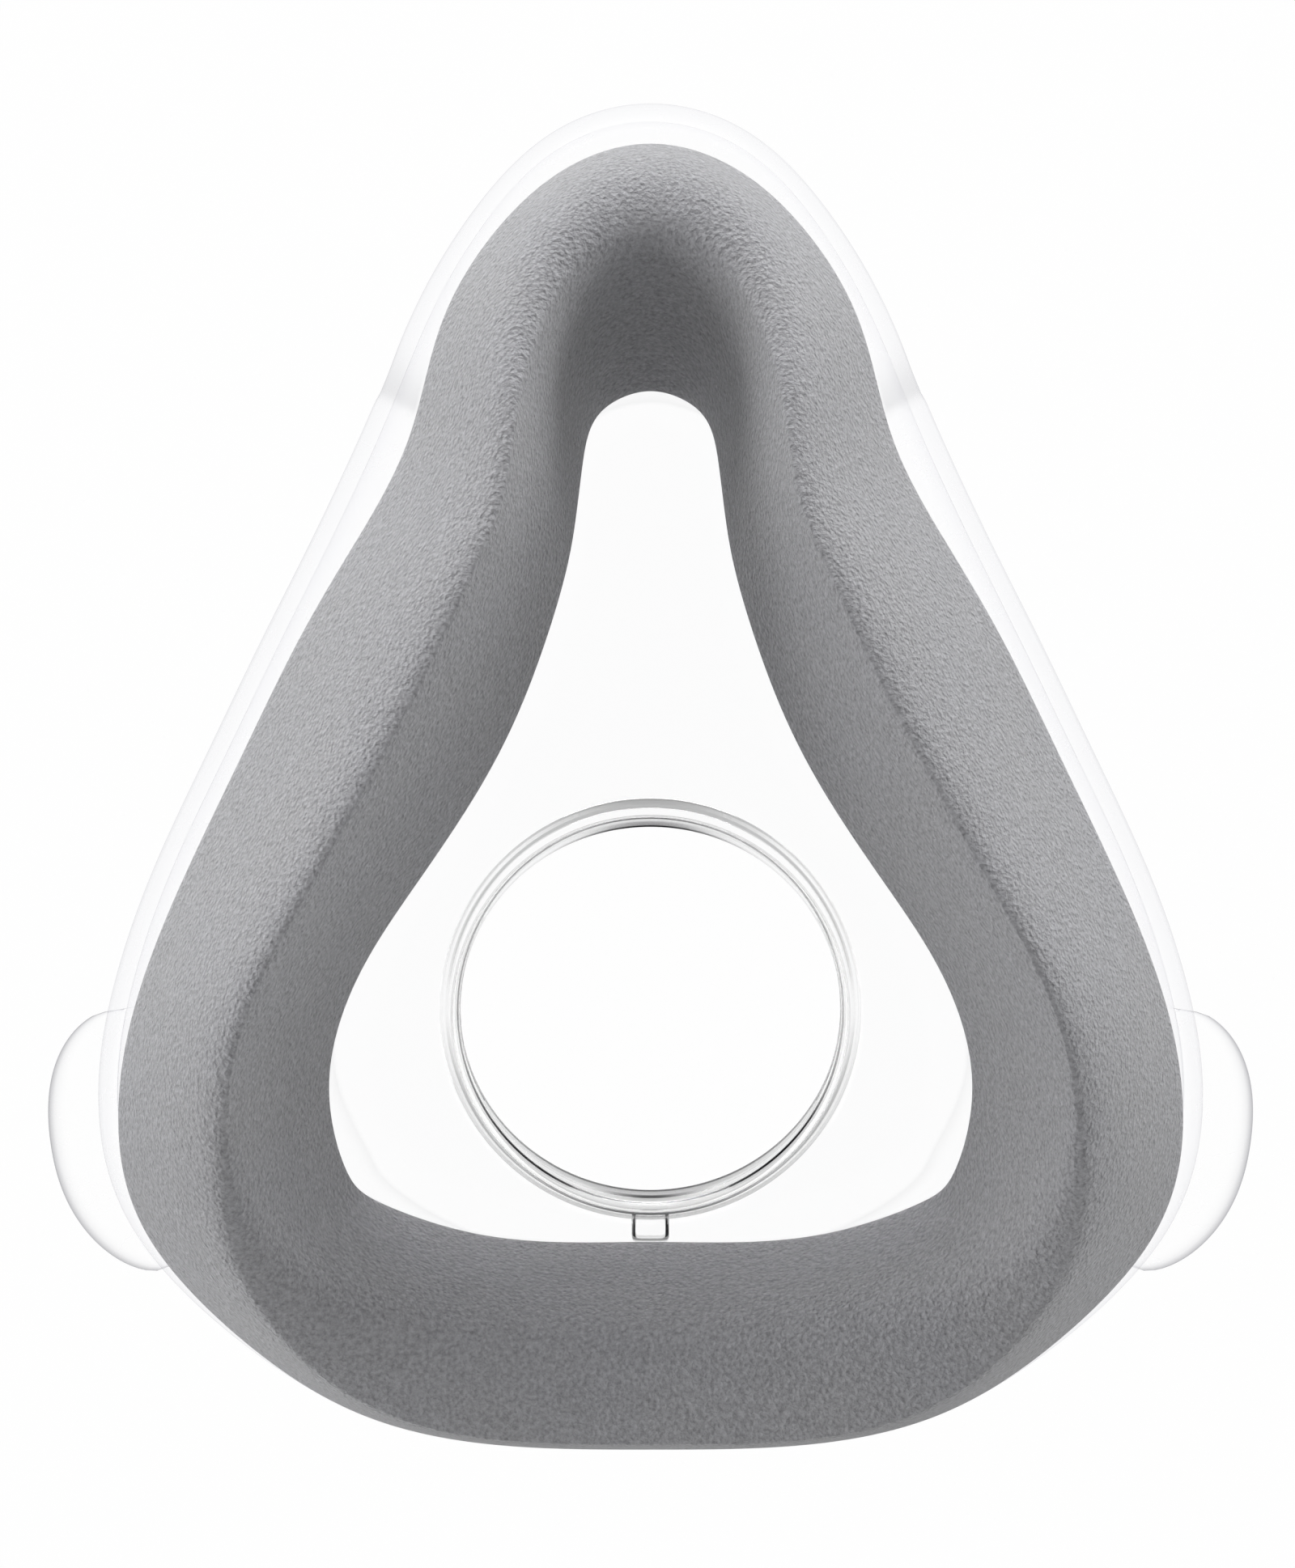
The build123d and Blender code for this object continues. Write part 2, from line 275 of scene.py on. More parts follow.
def mesh_piece(name, grid, material, poles=False, shade=None):
    """A closed mesh of a grid (around, across, xyz) in millimetres.

    The grid joins up with itself both ways. With poles it joins up only around, and the
    points of its first and last columns are one point each. A shade is a value at each
    point of the grid, which the mesh carries as its attribute of that name.
    """
    around, across, _ = grid.shape
    columns = across - 1 if poles else across
    i, j = np.meshgrid(np.arange(around), np.arange(columns), indexing="ij")
    next_i, next_j = (i + 1) % around, (j + 1) % across
    corners = np.stack([
        i * across + j, i * across + next_j, next_i * across + next_j, next_i * across + j,
    ], axis=-1).reshape(-1, 4)
    mesh = bpy.data.meshes.new(name)
    mesh.vertices.add(around * across)
    mesh.vertices.foreach_set("co", (grid * MM).astype(np.float32).ravel())
    mesh.loops.add(corners.size)
    mesh.loops.foreach_set("vertex_index", corners.astype(np.int32).ravel())
    mesh.polygons.add(len(corners))
    mesh.polygons.foreach_set("loop_start", np.arange(0, corners.size, 4, dtype=np.int32))
    mesh.polygons.foreach_set("use_smooth", np.ones(len(corners), dtype=bool))
    mesh.update(calc_edges=True)
    if shade is not None:
        values = mesh.attributes.new("shade", "FLOAT", "POINT")
        values.data.foreach_set("value", shade.astype(np.float32).ravel())
    if poles:
        shape = bmesh.new()
        shape.from_mesh(mesh)
        bmesh.ops.remove_doubles(shape, verts=shape.verts, dist=1e-7)
        shape.to_mesh(mesh)
        shape.free()
    mesh.validate()
    mesh.materials.append(material)
    piece = bpy.data.objects.new(name, mesh)
    bpy.context.collection.objects.link(piece)
    return piece


def foam_grid(count):
    """The foam: two flanks that meet on the crest, two round corners and a base.

    Each flank is a Bezier curve that runs straight up to a bend and turns there into the
    crest, which rises inwards by the row's tilt. The inner one takes its bend point twice,
    so it turns more tightly.
    """
    rows = ring_rows(count)
    width = width_of(rows)
    crest = rows[:, CREST_SHARE] * width
    outer_z, crest_z, inner_z = rows[:, OUTER_Z], rows[:, CREST_Z], rows[:, INNER_Z]
    outer_edge = place(rows, 0, outer_z)
    top = place(rows, crest, crest_z)
    inner_edge = place(rows, width, inner_z)
    base_inner = place(rows, width - FOAM_CORNER, base_height(rows, 1 - FOAM_CORNER / width))
    base_outer = place(rows, FOAM_CORNER, base_height(rows, FOAM_CORNER / width))
    before = rows[:, OUTER_LEVEL] * crest
    after = rows[:, LEVEL_SHARE] * (width - crest)
    outer_bend = place(rows, crest - before, crest_z - rows[:, TILT] * before)
    inner_bend = place(rows, crest + after, crest_z + rows[:, TILT] * after)
    outer_flank = [
        outer_edge,
        outer_edge + FOAM_STRAIGHT * (outer_bend - outer_edge),
        outer_bend,
        top,
    ]
    inner_flank = [
        top,
        inner_bend,
        inner_bend,
        inner_edge + FOAM_STRAIGHT * (inner_bend - inner_edge),
        inner_edge,
    ]
    return np.concatenate([
        curve(outer_flank, 34),
        curve(inner_flank, 38),
        curve([inner_edge, place(rows, width, base_height(rows, 1)), base_inner], 10),
        line(base_inner, base_outer, 12),
        curve([base_outer, place(rows, 0, base_height(rows, 0)), outer_edge], 10),
    ], axis=1)


def wing_share(rows):
    """How far the wing stands out at each row, from 0 to 1: a superellipse along Y."""
    middle, half = (WING_START + WING_END) / 2, (WING_START - WING_END) / 2
    along = np.clip(np.abs((rows[:, 1] - middle) / half), 0, 1)
    beside = np.abs(rows[:, 0]) > COLLAR_RADIUS
    return np.where(beside, (1 - along ** WING_BLUNTNESS) ** (1 / WING_FULLNESS), 0)


def pleat_depth(rows):
    """Depth of the pleats at each row: a bell on each side, steeper towards the mouth."""
    middle = (rows[:, OUTER] + rows[:, INNER]) / 2
    steps = np.linalg.norm(np.roll(middle, -1, axis=0) - middle, axis=1)
    along = np.concatenate([[0.0], np.cumsum(steps)[:-1]])
    whole = steps.sum()
    beyond = np.minimum(along, whole - along) - PLEAT_PLACE * whole
    ease = np.where(beyond < 0, PLEAT_EASE[0], PLEAT_EASE[1])
    return PLEAT_DEPTH * np.exp(-(beyond / ease) ** 2)


def skirt_grid(count):
    """The skirt: foot, wall with wings and bulge, lip, shelf and the wall's inner side.

    With it comes the painted shade of each point: dark along the wings' thick edge, soft grey
    along the pleats.
    """
    rows = ring_rows(count)
    width = width_of(rows)
    pleat = pleat_depth(rows)
    outer_z, reach = rows[:, OUTER_Z], rows[:, REACH]
    base_outer = base_height(rows, 0)
    shelf_end = width * SHELF_SHARE
    shelf_z = base_height(rows, SHELF_SHARE)
    bulge_z = RIM_REAR + BULGE_SHARE * (base_outer - RIM_REAR)
    wing = wing_share(rows)
    foot_outer = place(rows, FOOT_INSET, RIM_REAR)
    foot_inner = place(rows, FOOT_INSET + FOOT_WIDTH, RIM_REAR)
    foot_top = place(rows, FOOT_INSET + FOOT_WIDTH, RIM_REAR + FOOT_THICKNESS)
    bulge = place(rows, -reach, bulge_z)
    lip = place(rows, 0, outer_z - LIP_DROP - pleat)
    base_corner = place(rows, -BOND_GAP, base_outer - BOND_GAP)
    base_start = place(rows, FOAM_CORNER, base_height(rows, FOAM_CORNER / width) - BOND_GAP)
    shelf_top = place(rows, shelf_end, shelf_z - BOND_GAP)
    shelf_edge = place(rows, shelf_end, shelf_z - SKIRT_WALL)
    shelf_root = place(rows, SKIRT_WALL, base_outer - SKIRT_WALL)
    inner_bulge = place(rows, SKIRT_WALL - reach, bulge_z)
    lower_wall = curve([foot_outer, place(rows, -reach, RIM_REAR + SKIRT_WALL), bulge], 40)
    tip = -reach - WING_REACH * wing
    wing_root = place(rows, -reach + WING_FILLET, WING_REAR)
    wing_wall = np.concatenate([
        line(foot_outer, place(rows, tip + WING_TIP_ROUND, WING_FRONT), 10),
        curve([
            place(rows, tip + WING_TIP_ROUND, WING_FRONT),
            place(rows, tip, WING_FRONT),
            place(rows, tip, (WING_FRONT + WING_REAR) / 2),
        ], 7),
        curve([
            place(rows, tip, (WING_FRONT + WING_REAR) / 2),
            place(rows, tip, WING_REAR),
            place(rows, tip + WING_TIP_ROUND, WING_REAR),
        ], 7),
        line(place(rows, tip + WING_TIP_ROUND, WING_REAR), wing_root, 8),
        curve([
            wing_root,
            place(rows, -reach + WING_FILLET_RUN, WING_REAR + WING_FILLET_RISE),
            bulge,
        ], 8),
    ], axis=1)
    share = np.clip(wing * WING_GROWTH, 0, 1)[:, None, None]
    lower_wall = lower_wall * (1 - share) + wing_wall * share
    # Painted shade: dark along the wings' thick edge and soft grey along the pleats
    wing_edge = np.zeros(lower_wall.shape[1])
    wing_edge[WING_EDGE_FIRST:WING_EDGE_FIRST + len(WING_EDGE_SHADES)] = WING_EDGE_SHADES
    pleat_shade = (PLEAT_SHADE / PLEAT_DEPTH * pleat)[:, None]
    return join_runs([
        (wing_edge * share[:, :, 0], lower_wall),
        (pleat_shade, curve([
            bulge, place(rows, -reach + pleat, outer_z - 2 * LIP_DROP - pleat), lip], 18)),
        (0, curve([lip, base_corner, base_start], 8)),
        (0, line(base_start, shelf_top, 6)),
        (0, line(shelf_top, shelf_edge, 2)),
        (0, line(shelf_edge, shelf_root, 8)),
        (0, curve([
            shelf_root, place(rows, SKIRT_WALL - reach, base_outer - SKIRT_WALL), inner_bulge], 12)),
        (0, curve([
            inner_bulge, place(rows, SKIRT_WALL - reach, RIM_REAR + 2 * SKIRT_WALL), foot_top], 14)),
        (0, line(foot_top, foot_inner, 2)),
        (0, line(foot_inner, foot_outer, 5)),
    ])


def circle_points(angle, radius, height):
    """Points on a circle round the port's axis at each row's own angle."""
    height = np.broadcast_to(height, len(angle))
    return np.column_stack([radius * np.cos(angle), radius * np.sin(angle), height])


def bell(angle, middle, half_width):
    """A smooth hump of height 1 round the port: exp(-(angle off the middle / half width)^2)."""
    off = (angle - middle + math.pi) % (2 * math.pi) - math.pi
    return np.exp(-(off / half_width) ** 2)


def shell_grid(count):
    """The shell as one closed skin: bore, floor, wall, rim flange and back to the collar.

    With it comes the painted shade of each point: how dark the moulding's tight edges look,
    which differs round the port as it does where light leaves thick clear plastic.
    """
    rows = ring_rows(count)
    width = width_of(rows)
    rim_inner = RIM_INSET + RIM_WIDTH
    rim_root = RIM_INSET + RIM_OVERHANG
    floor_edge = width * rows[:, FLOOR_SHARE]
    floor_rear = place(rows, floor_edge, FLOOR_REAR)
    floor_front = place(rows, floor_edge, FLOOR_FRONT)
    floor_soft = place(rows, floor_edge + SOFT_EDGE, FLOOR_REAR)
    angle = np.arctan2(floor_rear[:, 1], floor_rear[:, 0])
    around = angle[:, None]
    inner_run, outer_run = floor_edge - rim_inner, floor_edge - rim_root
    inner_drop = RIM_REAR - SHOULDER_SHARE * (RIM_REAR - FLOOR_REAR)
    outer_drop = RIM_FRONT - SHOULDER_SHARE * (RIM_FRONT - FLOOR_FRONT)
    lip_radius = BORE_RADIUS * LIP_RADIUS / np.hypot(
        LIP_RADIUS * np.cos(angle), BORE_RADIUS * np.sin(angle))
    seat_radius = (1 - SEAT_SHARE) * (lip_radius + LIP_ROUND) + SEAT_SHARE * BORE_RADIUS
    head, foot = math.pi / 2, -math.pi / 2
    # Each painted shade is an even part and humps at the port's head, at its foot and beside it.
    wide_head, wide_foot = bell(around, head, 0.5), bell(around, foot, 0.9)
    beside = bell(around, 0, 0.25) + bell(around, math.pi, 0.25)
    lip_shade = 0.08 + 0.90 * bell(around, head, 0.34) + 0.55 * bell(around, foot, 1.2)
    lip_wall_shade = 0.3 * lip_shade
    ledge_shade = 0.02 + 0.25 * bell(around, head, 0.35) + 0.20 * wide_foot
    seat_shade = 0.12 + 0.62 * bell(around, foot, 0.2)
    bore_shade = 0.05 * wide_foot
    step_shade = (0.30 + 0.68 * (bell(around, -2.3, 0.5) + bell(around, -0.84, 0.5))
                  + 0.30 * bell(around, head, 0.3) - 0.28 * bell(around, foot, 0.25))
    rear_shade = 0.12 + 0.50 * bell(around, foot, 0.6)
    root_shade = 0.42 + 0.10 * wide_head + 0.75 * bell(around, foot, 1.0) - 0.38 * beside
    root_shade = np.minimum(root_shade, 1)
    flange_shade = 0.02 + 0.58 * wide_head + 0.10 * wide_foot
    rim_shade = 0.22 + 0.30 * wide_head + 0.40 * wide_foot - 0.15 * beside

    def ring(radius, height):
        return circle_points(angle, radius, height)

    def point(radius, height):
        return ring(radius, height)[:, None]

    return join_runs([
        (lip_wall_shade, curve([
            ring(lip_radius + LIP_ROUND, 0), ring(lip_radius, 0), ring(lip_radius, LIP_ROUND)], 5)),
        (lip_wall_shade, line(ring(lip_radius, LIP_ROUND), ring(lip_radius, LIP_HEIGHT), 3)),
        (lip_shade, line(ring(lip_radius, LIP_HEIGHT), ring(lip_radius + LIP_ROUND, LIP_HEIGHT), 2)),
        (ledge_shade, line(ring(lip_radius + LIP_ROUND, LIP_HEIGHT), ring(seat_radius, LIP_HEIGHT), 3)),
        (seat_shade, line(
            ring(SEAT_LINE_START * seat_radius, LIP_HEIGHT), ring(BORE_RADIUS, LIP_HEIGHT), 2)),
        (seat_shade, point(BORE_RADIUS, LIP_HEIGHT)),
        (bore_shade, line(
            ring(BORE_RADIUS, LIP_HEIGHT + LIP_ROUND), ring(BORE_RADIUS, STEP_HEIGHT - STEP_LINE), 5)),
        (step_shade, line(
            ring(BORE_RADIUS, STEP_HEIGHT - STEP_LINE), ring(STEP_RADIUS, STEP_HEIGHT), 2)),
        (step_shade, point(STEP_RADIUS, STEP_HEIGHT)),
        (bore_shade, line(
            ring(STEP_RADIUS, STEP_HEIGHT + STEP_LINE), ring(STEP_RADIUS, FLOOR_REAR - EDGE_ROUND), 5)),
        (rear_shade, curve([
            ring(STEP_RADIUS, FLOOR_REAR - EDGE_ROUND),
            ring(STEP_RADIUS, FLOOR_REAR),
            ring(STEP_RADIUS + EDGE_ROUND, FLOOR_REAR),
        ], 6)),
        (rear_shade, point(STEP_RADIUS + EDGE_ROUND, FLOOR_REAR)),
        (0, line(ring(STEP_RADIUS + EDGE_LINE_END * EDGE_ROUND, FLOOR_REAR), floor_soft, 7)),
        (0, line(floor_soft, floor_rear, 2)),
        (FLOOR_EDGE_SHADE, floor_rear[:, None]),
        (0, curve([
            floor_rear,
            place(rows, floor_edge - SHOULDER_SHARE * inner_run, FLOOR_REAR),
            place(rows, rim_inner + WALL_LEAN * inner_run, inner_drop),
            place(rows, rim_inner, RIM_REAR),
        ], 15)[:, 1:]),
        (0, line(place(rows, rim_inner, RIM_REAR), place(rows, RIM_INSET, RIM_REAR), 3)),
        (0, line(place(rows, RIM_INSET, RIM_REAR), place(rows, RIM_INSET, RIM_FRONT), 2)),
        (0, line(place(rows, RIM_INSET, RIM_FRONT), place(rows, rim_root, RIM_FRONT), 3)),
        (0, curve([
            place(rows, rim_root, RIM_FRONT),
            place(rows, rim_root + WALL_LEAN * outer_run, outer_drop),
            place(rows, floor_edge - SHOULDER_SHARE * outer_run, FLOOR_FRONT),
            floor_front,
        ], 14)),
        (0, line(floor_front, ring(COLLAR_RADIUS + THROAT_FLARE, FLOOR_FRONT), 4)),
        (0, curve([
            ring(COLLAR_RADIUS + THROAT_FLARE, FLOOR_FRONT),
            ring(COLLAR_RADIUS, FLOOR_FRONT),
            ring(COLLAR_RADIUS, FLOOR_FRONT - THROAT_FLARE),
        ], 8)),
        (0, line(
            ring(COLLAR_RADIUS, FLOOR_FRONT - THROAT_FLARE), ring(COLLAR_RADIUS, FLANGE_THICKNESS), 6)),
        (flange_shade, line(
            ring(COLLAR_RADIUS, FLANGE_THICKNESS),
            ring(ROOT_LINE_INNER - LINE_FADE, FLANGE_THICKNESS), 2)),
        (root_shade, line(
            ring(ROOT_LINE_INNER, FLANGE_THICKNESS), ring(ROOT_LINE_OUTER, FLANGE_THICKNESS), 4)),
        (flange_shade, line(
            ring(FLANGE_FACE_INNER, FLANGE_THICKNESS), ring(FLANGE_RADIUS, FLANGE_THICKNESS), 4)),
        (rim_shade, line(ring(FLANGE_RADIUS, FLANGE_THICKNESS), ring(FLANGE_RADIUS, EDGE_ROUND), 3)),
        (rim_shade, curve([
            ring(FLANGE_RADIUS, EDGE_ROUND), ring(FLANGE_RADIUS, 0), ring(FLANGE_RADIUS - EDGE_ROUND, 0),
        ], 5)),
        (0, line(ring(FLANGE_RADIUS - EDGE_ROUND, 0), ring(lip_radius + LIP_ROUND, 0), 3)),
    ])


def key_grid():
    """The key tab: rounded rectangles from a pole at its foot to a pole at its head.

    Each rectangle is the superellipse |x / a|^n + |y / b|^n = 1, where n is its squareness,
    eased in near both ends. With it comes the painted shade of each point: dark along the
    rim of its rear face.
    """
    half_w, half_d = KEY_WIDTH / 2, (KEY_REACH - KEY_ROOT) / 2
    angle = np.arange(KEY_ROWS) * 2 * math.pi / KEY_ROWS
    radius = (np.abs(np.cos(angle) / half_w) ** KEY_SQUARENESS
              + np.abs(np.sin(angle) / half_d) ** KEY_SQUARENESS) ** (-1 / KEY_SQUARENESS)
    shares = np.array(
        [0.0, 0.5, 0.80, 0.82, 0.965, 1.0, 1.0, 1.0, 1.0, 0.965, 0.82, 0.80, 0.5, 0.0])
    heights = np.array([0.0, 0.0, 0.0, 0.0, 0.07, 0.3, 0.6])
    heights = np.concatenate([heights, KEY_HEIGHT - heights[::-1]])
    x = radius[:, None] * np.cos(angle)[:, None] * shares
    y = radius[:, None] * np.sin(angle)[:, None] * shares - (KEY_REACH + KEY_ROOT) / 2
    # Painted shade: the rim of the rear face is darkened where the clear tab's edge would look dark
    at_rim = (shares > KEY_RIM_SHARE) & (heights > KEY_HEIGHT - KEY_RIM_DEPTH)
    shade = np.broadcast_to(np.where(at_rim, KEY_RIM_SHADE, 0), x.shape)
    return np.stack([x, y, np.broadcast_to(heights, x.shape)], axis=-1), shade


def new_material(name):
    """An empty material with a Principled BSDF, its nodes and its links."""
    material = bpy.data.materials.new(name)
    material.use_nodes = True
    nodes, links = material.node_tree.nodes, material.node_tree.links
    return material, nodes, links, nodes["Principled BSDF"]


def foam_material():
    """Matt grey open-cell foam: fine speckle, small pits and a soft bloom at the edges."""
    material, nodes, links, shader = new_material("memory_foam")
    place_node = nodes.new("ShaderNodeTexCoord")
    fine = nodes.new("ShaderNodeTexNoise")
    fine.inputs["Scale"].default_value = 2600
    fine.inputs["Detail"].default_value = 3
    fine.inputs["Roughness"].default_value = 0.6
    cells = nodes.new("ShaderNodeTexVoronoi")
    cells.inputs["Scale"].default_value = 2300
    broad = nodes.new("ShaderNodeTexNoise")
    broad.inputs["Scale"].default_value = 90
    broad.inputs["Detail"].default_value = 2
    for texture in (fine, cells, broad):
        links.new(place_node.outputs["Object"], texture.inputs["Vector"])
    speckle = nodes.new("ShaderNodeMapRange")
    speckle.inputs["From Min"].default_value = 0.3
    speckle.inputs["From Max"].default_value = 0.7
    links.new(fine.outputs["Fac"], speckle.inputs["Value"])
    colour = nodes.new("ShaderNodeMix")
    colour.data_type = "RGBA"
    colour.inputs["A"].default_value = (0.255, 0.255, 0.267, 1)
    colour.inputs["B"].default_value = (0.445, 0.445, 0.468, 1)
    links.new(speckle.outputs["Result"], colour.inputs["Factor"])
    tint = nodes.new("ShaderNodeMix")
    tint.data_type = "RGBA"
    tint.blend_type = "MULTIPLY"
    tint.inputs["Factor"].default_value = 0.5
    warm = nodes.new("ShaderNodeValToRGB")
    warm.color_ramp.elements[0].color = (1.0, 0.99, 0.96, 1)
    warm.color_ramp.elements[1].color = (0.96, 0.97, 1.0, 1)
    links.new(broad.outputs["Fac"], warm.inputs["Fac"])
    links.new(colour.outputs["Result"], tint.inputs["A"])
    links.new(warm.outputs["Color"], tint.inputs["B"])
    links.new(tint.outputs["Result"], shader.inputs["Base Color"])
    height = nodes.new("ShaderNodeMath")
    height.operation = "MULTIPLY_ADD"
    height.inputs[1].default_value = 0.5
    links.new(cells.outputs["Distance"], height.inputs[0])
    links.new(fine.outputs["Fac"], height.inputs[2])
    bump = nodes.new("ShaderNodeBump")
    bump.inputs["Strength"].default_value = 0.9
    bump.inputs["Distance"].default_value = 0.0004
    links.new(height.outputs["Value"], bump.inputs["Height"])
    links.new(bump.outputs["Normal"], shader.inputs["Normal"])
    shader.inputs["Roughness"].default_value = 0.75
    shader.inputs["Sheen Weight"].default_value = 0.45
    shader.inputs["Sheen Roughness"].default_value = 0.5
    return material


def silicone_material():
    """White translucent silicone with a satin skin; painted shade makes it greyer where it is seen edge
    on.
    """
    material, nodes, links, shader = new_material("white_silicone")
    place_node = nodes.new("ShaderNodeTexCoord")
    haze = nodes.new("ShaderNodeTexNoise")
    haze.inputs["Scale"].default_value = 160
    haze.inputs["Detail"].default_value = 4
    links.new(place_node.outputs["Object"], haze.inputs["Vector"])
    # Painted shade: the colour turns greyer as the surface is seen edge on
    facing = nodes.new("ShaderNodeLayerWeight")
    facing.inputs["Blend"].default_value = 0.5
    colour = nodes.new("ShaderNodeValToRGB")
    ramp = colour.color_ramp
    ramp.elements[0].color = (1, 1, 1, 1)
    ramp.elements[1].color = (0.68, 0.68, 0.70, 1)
    for position, tone in ((0.35, (0.985, 0.985, 0.992, 1)), (0.62, (0.95, 0.95, 0.962, 1)),
                           (0.85, (0.915, 0.915, 0.93, 1))):
        ramp.elements.new(position).color = tone
    links.new(facing.outputs["Facing"], colour.inputs["Fac"])
    # Painted shade: the shade attribute darkens the colour along the wings' edges and the pleats
    edge = nodes.new("ShaderNodeAttribute")
    edge.attribute_name = "shade"
    shaded_colour = nodes.new("ShaderNodeMix")
    shaded_colour.data_type = "RGBA"
    shaded_colour.inputs["B"].default_value = (0.20, 0.20, 0.22, 1)
    links.new(edge.outputs["Fac"], shaded_colour.inputs["Factor"])
    links.new(colour.outputs["Color"], shaded_colour.inputs["A"])
    links.new(shaded_colour.outputs["Result"], shader.inputs["Base Color"])
    rough = nodes.new("ShaderNodeMapRange")
    rough.inputs["To Min"].default_value = 0.22
    rough.inputs["To Max"].default_value = 0.32
    links.new(haze.outputs["Fac"], rough.inputs["Value"])
    links.new(rough.outputs["Result"], shader.inputs["Roughness"])
    solid = nodes.new("ShaderNodeMapRange")
    solid.inputs["To Min"].default_value = 0.75
    links.new(edge.outputs["Fac"], solid.inputs["Value"])
    links.new(solid.outputs["Result"], shader.inputs["Alpha"])
    shader.inputs["IOR"].default_value = 1.0
    shader.inputs["Transmission Weight"].default_value = 1.0
    shader.inputs["Coat Weight"].default_value = 0.08
    shader.inputs["Coat Roughness"].default_value = 0.3
    return material


def clear_material():
    """Clear polished plastic: flat parts nearly vanish, and painted shade makes tight edges dark and
    solid.
    """
    material, nodes, links, shader = new_material("clear_plastic")
    place_node = nodes.new("ShaderNodeTexCoord")
    flow = nodes.new("ShaderNodeTexNoise")
    flow.inputs["Scale"].default_value = 60
    links.new(place_node.outputs["Object"], flow.inputs["Vector"])
    rough = nodes.new("ShaderNodeMapRange")
    rough.inputs["To Max"].default_value = 0.03
    links.new(flow.outputs["Fac"], rough.inputs["Value"])
    links.new(rough.outputs["Result"], shader.inputs["Roughness"])
    # Painted shade: the shade attribute darkens the base colour, turns off transmission and makes the
    # surface solid
    edge = nodes.new("ShaderNodeAttribute")
    edge.attribute_name = "shade"
    clearness = nodes.new("ShaderNodeMath")
    clearness.operation = "SUBTRACT"
    clearness.inputs[0].default_value = 1.0
    links.new(edge.outputs["Fac"], clearness.inputs[1])
    passed = nodes.new("ShaderNodeMath")
    passed.operation = "POWER"
    passed.inputs[1].default_value = 2.0
    links.new(clearness.outputs["Value"], passed.inputs[0])
    colour = nodes.new("ShaderNodeMix")
    colour.data_type = "RGBA"
    colour.inputs["A"].default_value = (0.001, 0.001, 0.003, 1)
    colour.inputs["B"].default_value = (0.995, 0.997, 1.0, 1)
    links.new(passed.outputs["Value"], colour.inputs["Factor"])
    links.new(colour.outputs["Result"], shader.inputs["Base Color"])
    solid = nodes.new("ShaderNodeMapRange")
    solid.inputs["From Max"].default_value = 0.2
    solid.inputs["To Min"].default_value = 0.3
    links.new(edge.outputs["Fac"], solid.inputs["Value"])
    links.new(solid.outputs["Result"], shader.inputs["Alpha"])
    links.new(clearness.outputs["Value"], shader.inputs["Transmission Weight"])
    shader.inputs["IOR"].default_value = 1.49
    return material


def white_share(nodes, links):
    """How much of the floor shows as plain white to each kind of ray.

    It is the same all over for the camera. Rays off or through the mask see the white
    only near the mask, and a dim floor further out, as they would past a light table.
    """
    place_node = nodes.new("ShaderNodeTexCoord")
    distance = nodes.new("ShaderNodeVectorMath")
    distance.operation = "LENGTH"
    links.new(place_node.outputs["Object"], distance.inputs[0])
    near = nodes.new("ShaderNodeMapRange")
    near.inputs["From Min"].default_value = LIGHT_TABLE_INNER
    near.inputs["From Max"].default_value = LIGHT_TABLE_OUTER
    near.inputs["To Min"].default_value = 1.0
    near.inputs["To Max"].default_value = 0.0
    links.new(distance.outputs["Value"], near.inputs["Value"])
    path = nodes.new("ShaderNodeLightPath")
    bounced = nodes.new("ShaderNodeMath")
    bounced.operation = "MAXIMUM"
    links.new(path.outputs["Is Glossy Ray"], bounced.inputs[0])
    links.new(path.outputs["Is Transmission Ray"], bounced.inputs[1])
    through = nodes.new("ShaderNodeMath")
    through.operation = "MULTIPLY"
    links.new(bounced.outputs["Value"], through.inputs[0])
    links.new(near.outputs["Result"], through.inputs[1])
    seen = nodes.new("ShaderNodeMath")
    seen.operation = "MAXIMUM"
    links.new(path.outputs["Is Camera Ray"], seen.inputs[0])
    links.new(through.outputs["Value"], seen.inputs[1])
    return seen.outputs["Value"]


def make_floor():
    """A pale floor that shows nearly white and keeps a faint shadow."""
    bpy.ops.mesh.primitive_plane_add(size=3.0, location=(0, 0, -0.00005))
    floor = bpy.context.object
    floor.name = "floor"
    material, nodes, links, shader = new_material("pale_floor")
    shader.inputs["Base Color"].default_value = (0.86, 0.86, 0.86, 1)
    shader.inputs["Roughness"].default_value = 0.9
    shader.inputs["Specular IOR Level"].default_value = 0.0
    glow = nodes.new("ShaderNodeEmission")
    glow.inputs["Color"].default_value = (1, 1, 1, 1)
    mix = nodes.new("ShaderNodeMixShader")
    share = nodes.new("ShaderNodeMath")
    share.operation = "MULTIPLY"
    share.inputs[1].default_value = FLOOR_WHITE_SHARE
    links.new(white_share(nodes, links), share.inputs[0])
    links.new(share.outputs["Value"], mix.inputs["Fac"])
    links.new(shader.outputs["BSDF"], mix.inputs[1])
    links.new(glow.outputs["Emission"], mix.inputs[2])
    links.new(mix.outputs["Shader"], nodes["Material Output"].inputs["Surface"])
    floor.data.materials.append(material)


def add_lamp(name, position, power):
    """A soft rectangular lamp at a position, turned to the mask."""
    data = bpy.data.lights.new(name, "AREA")
    data.shape = "RECTANGLE"
    data.size, data.size_y = LAMP_LENGTH, LAMP_WIDTH
    data.energy = power
    lamp = bpy.data.objects.new(name, data)
    lamp.location = position
    beam = Vector(LAMP_TARGET) - Vector(position)
    lamp.rotation_euler = beam.to_track_quat("-Z", "Y").to_euler()
    bpy.context.collection.objects.link(lamp)


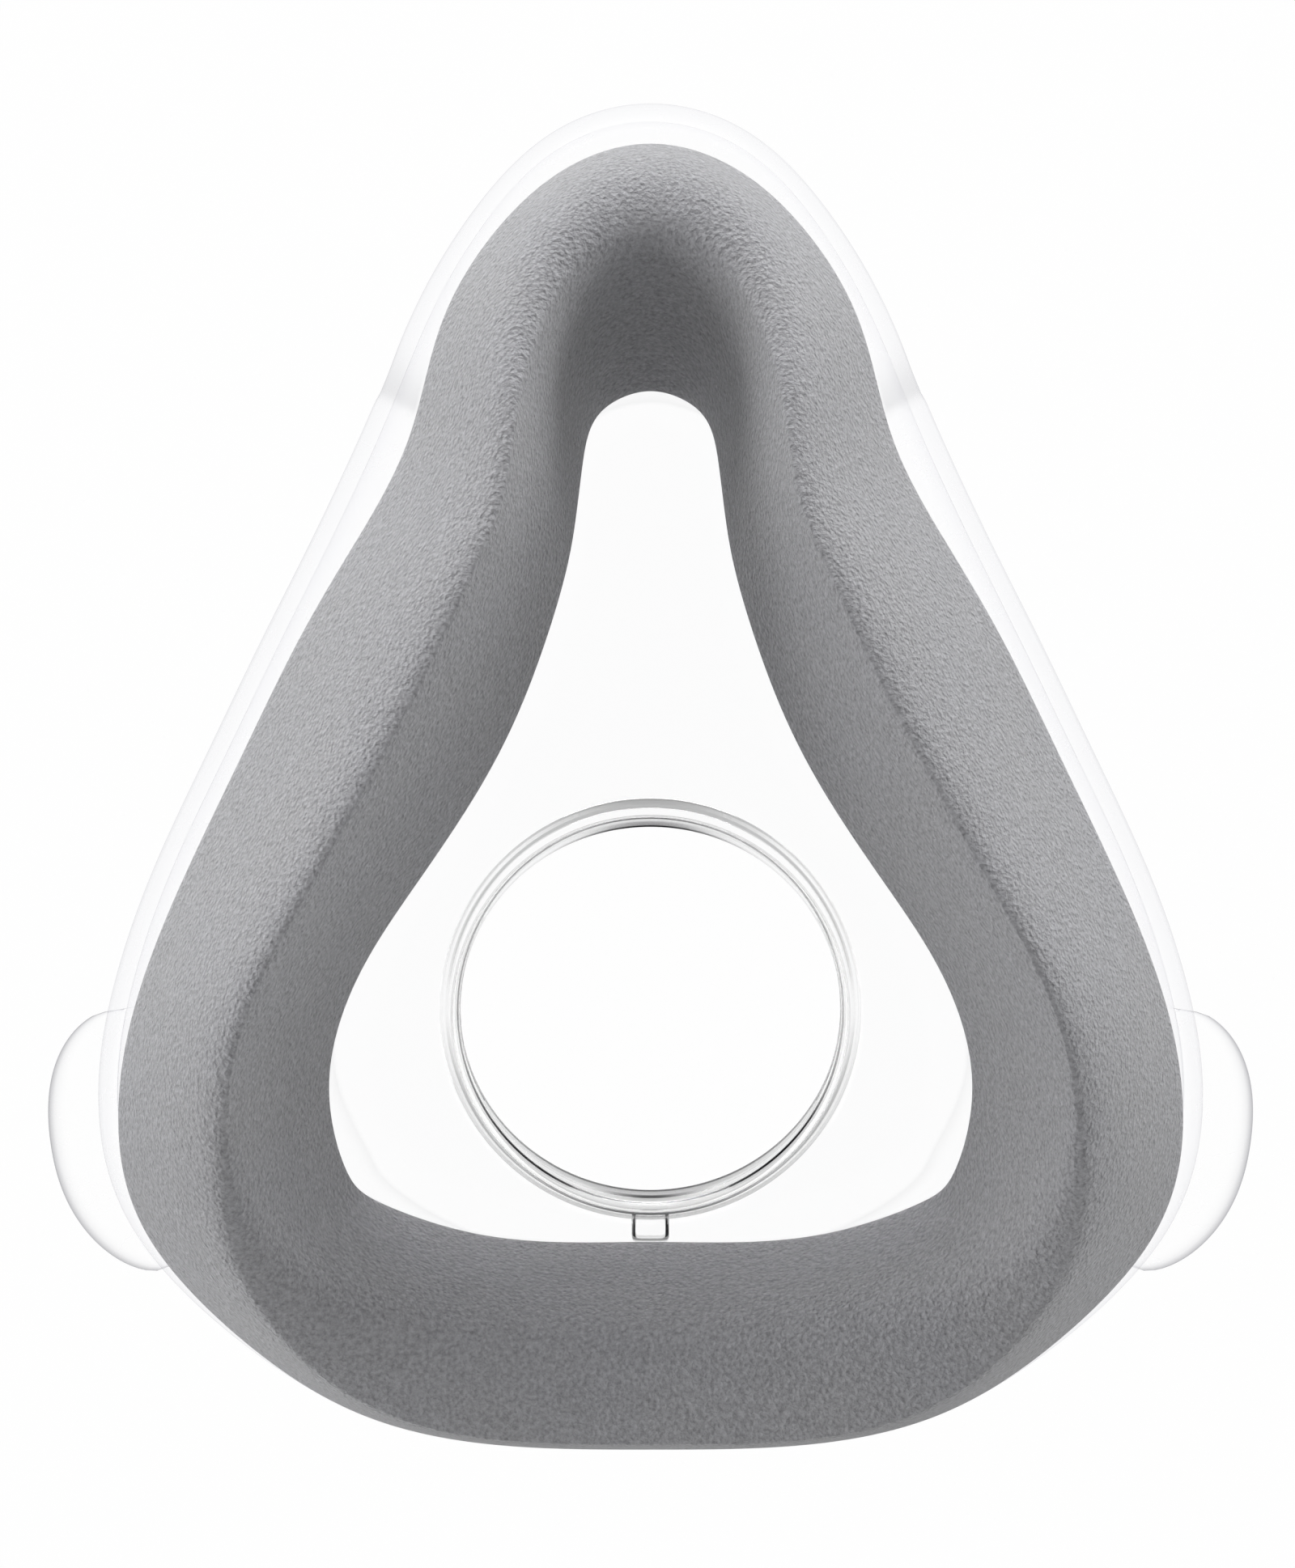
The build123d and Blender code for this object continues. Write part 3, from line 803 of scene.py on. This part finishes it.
def make_light():
    """Long low lamps left, right and beyond the bridge of the nose, and an even world."""
    for name, (position, power) in LAMPS.items():
        add_lamp(name, position, power)
    world = bpy.data.worlds.new("studio")
    bpy.context.scene.world = world
    world.use_nodes = True
    nodes, links = world.node_tree.nodes, world.node_tree.links
    background = nodes["Background"]
    background.inputs["Color"].default_value = (1, 1, 1, 1)
    path = nodes.new("ShaderNodeLightPath")
    dark = nodes.new("ShaderNodeMath")
    dark.operation = "MAXIMUM"
    links.new(path.outputs["Is Glossy Ray"], dark.inputs[0])
    links.new(path.outputs["Is Transmission Ray"], dark.inputs[1])
    strength = nodes.new("ShaderNodeMapRange")
    strength.inputs["To Min"].default_value = WORLD_STRENGTH
    strength.inputs["To Max"].default_value = WORLD_STRENGTH_IN_GLOSS
    links.new(dark.outputs["Value"], strength.inputs["Value"])
    links.new(strength.outputs["Result"], background.inputs["Strength"])


def make_camera():
    """Straight above the mask, with the photograph's framing."""
    data = bpy.data.cameras.new("camera")
    distance = CAMERA_Z - SHARP_Z
    data.sensor_width = 36.0
    data.lens = data.sensor_width * distance / (PHOTO_HEIGHT * PHOTO_SCALE)
    data.clip_start, data.clip_end = 0.01, 20
    camera = bpy.data.objects.new("camera", data)
    camera.location = (CAMERA_X * MM, CAMERA_Y * MM, CAMERA_Z * MM)
    bpy.context.collection.objects.link(camera)
    bpy.context.scene.camera = camera


make_camera()
make_floor()
make_light()
bpy.context.scene.view_settings.view_transform = "Standard"

foam = mesh_piece("foam_ring", foam_grid(FOAM_ROWS), foam_material())
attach(foam, "root")
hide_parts("foam_seal")

skirt_points, skirt_shade = skirt_grid(SKIRT_ROWS)
skirt = mesh_piece("skirt_moulding", skirt_points, silicone_material(), shade=skirt_shade)
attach(skirt, "root")
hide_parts("silicone_skirt")

clear = clear_material()
shell_points, shell_shade = shell_grid(SHELL_ROWS)
shell = mesh_piece("shell_moulding", shell_points, clear, shade=shell_shade)
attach(shell, "root")
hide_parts("clear_shell")

key_points, key_shade = key_grid()
key = mesh_piece("key_tab", key_points, clear, poles=True, shade=key_shade)
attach(key, "root")
